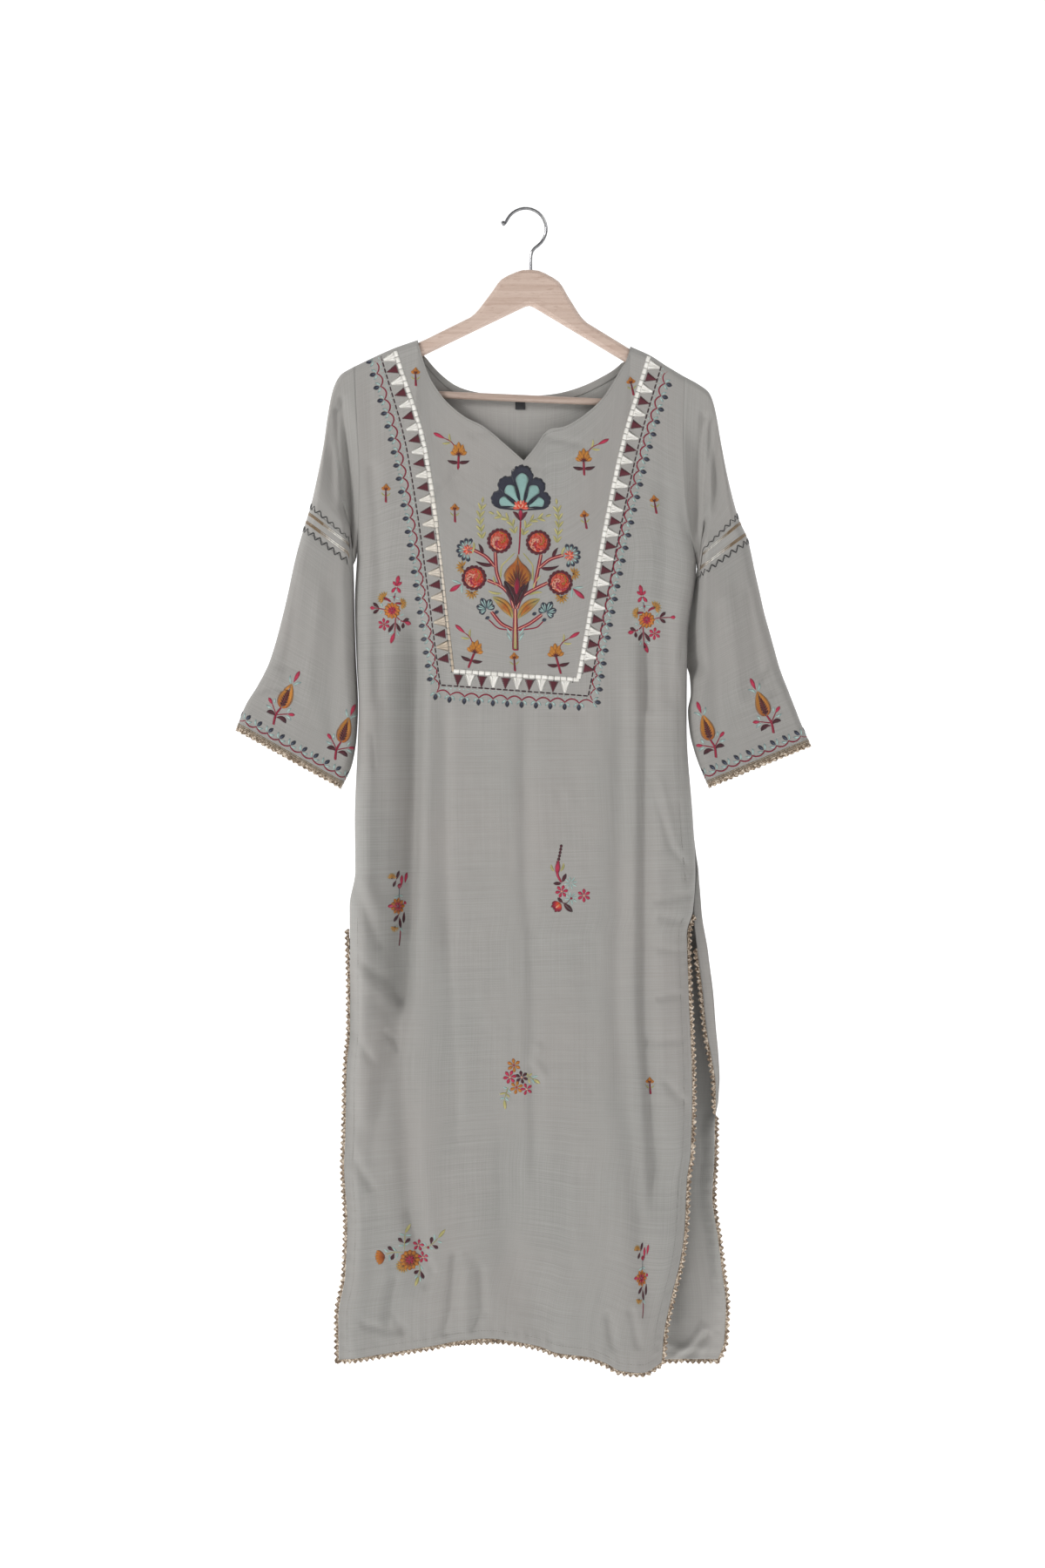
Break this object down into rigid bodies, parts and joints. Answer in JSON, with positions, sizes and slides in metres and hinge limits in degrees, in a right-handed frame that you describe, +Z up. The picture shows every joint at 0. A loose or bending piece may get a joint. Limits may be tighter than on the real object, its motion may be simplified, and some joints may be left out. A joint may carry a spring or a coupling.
{
  "type": "kurta tunic on a wooden coat hanger",
  "caption": "Long straight kurta tunic with a notched neck, banded bell sleeves, side slits and zigzag lace edging, hanging flat from a wooden coat hanger with a wire hook.",
  "frame": {"origin": "inner top of the hanger's hook, where a rail or peg carries it", "axes": "+Z up along the hanging garment, the front faces -Y, the wearer's right is at -X"},
  "size_m": [0.6606, 0.0542, 1.3394],
  "materials": {
    "cloth": "matt slub weave",
    "band": "cloth with flat metallic tapes",
    "lace": "metallic thread",
    "label": "satin weave",
    "wood": "smooth, clear varnish",
    "steel": "bright wire"
  },
  "bodies": {
    "root": {"front_chest": "cloth", "front_waist": "cloth", "front_skirt": "cloth", "back_chest": "cloth", "back_waist": "cloth", "back_skirt": "cloth", "sleeve_upper_left": "cloth", "sleeve_upper_right": "cloth", "sleeve_lower_left": "cloth", "sleeve_lower_right": "cloth", "sleeve_band_left": "band", "sleeve_band_right": "band", "cuff_lace_left": "lace", "cuff_lace_right": "lace", "front_lace": "lace", "back_lace": "lace", "neck_facing": "cloth", "neck_label": "label", "hanger_wood": "wood", "hanger_bar": "wood", "hanger_hook": "steel"}
  },
  "joints": []
}
